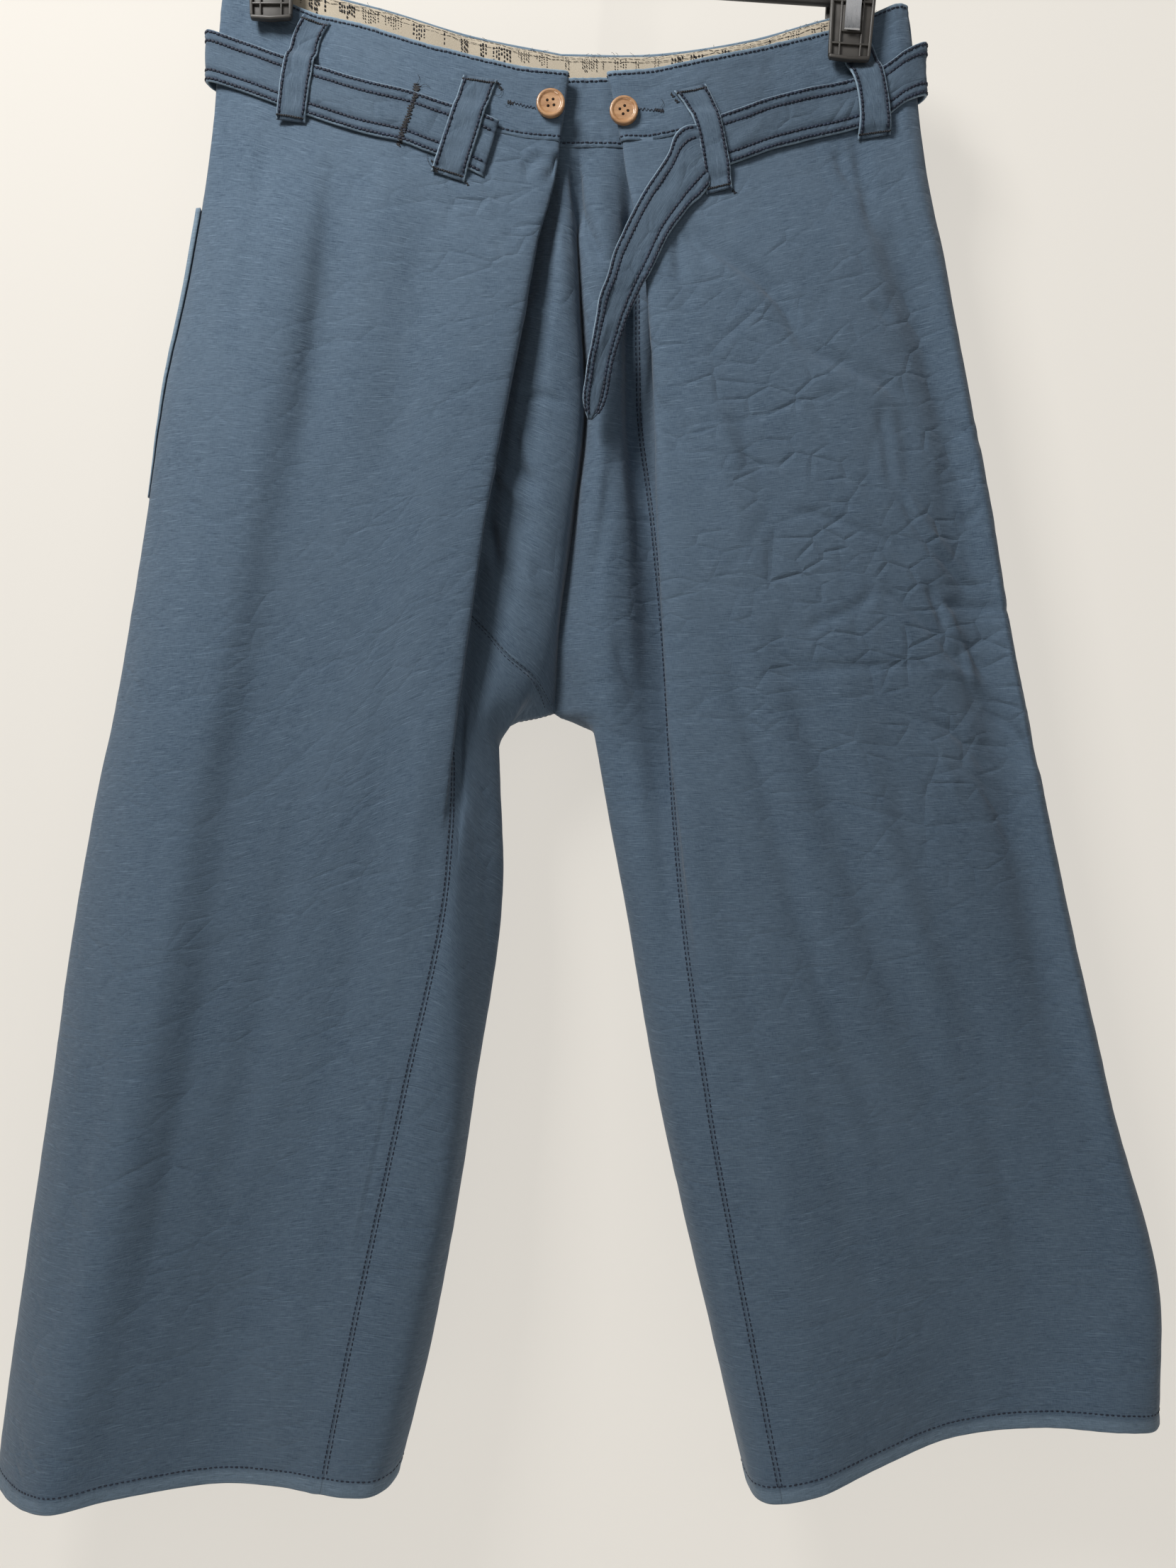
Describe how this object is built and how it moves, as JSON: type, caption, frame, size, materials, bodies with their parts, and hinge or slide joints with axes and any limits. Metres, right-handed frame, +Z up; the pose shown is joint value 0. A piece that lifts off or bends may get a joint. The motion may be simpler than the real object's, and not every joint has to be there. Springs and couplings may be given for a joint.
{
  "type": "casual pants on a clip hanger",
  "caption": "Wide-legged cloth trousers with a folded, buttoned front and a self belt, held at the waist by a hanger with spring clips.",
  "frame": {"origin": "the point inside the top of the hanger's hook where it rests on a rail", "axes": "+Z up, -Y out of the front of the garment, +X to the right of someone who faces its front"},
  "size_m": [0.7536, 0.0876, 1.1021],
  "materials": {
    "cloth": "slubby plain weave, blue-grey, faded a little at the edges",
    "trim": "the same cloth doubled and stitched, with worn pale edges",
    "facing": "smooth cream cotton with dark stitches",
    "button": "tan, faintly streaked, semi-gloss",
    "plastic": "near-black moulded plastic, satin",
    "steel": "bright sprung steel"
  },
  "bodies": {
    "root": {"back_left": "cloth", "back_right": "cloth", "front_left": "cloth", "front_right": "cloth", "inner_left": "cloth", "centre_front": "cloth", "waistband_left": "cloth", "waistband_right": "cloth", "waistband_centre": "cloth", "waistband_back": "cloth", "pocket_left": "cloth", "facing_back": "facing", "belt_left": "trim", "belt_back": "trim", "belt_right": "trim", "belt_tie": "trim", "loop_1": "trim", "loop_2": "trim", "loop_3": "trim", "loop_4": "trim", "loop_5": "trim", "loop_6": "trim", "loop_7": "trim", "button_left": "button", "button_right": "button", "hanger_bar": "plastic", "hanger_hook": "steel", "clip_left_jaw_front": "plastic", "clip_left_jaw_back": "plastic", "clip_left_spring": "steel", "clip_right_jaw_front": "plastic", "clip_right_jaw_back": "plastic", "clip_right_spring": "steel"}
  },
  "joints": []
}
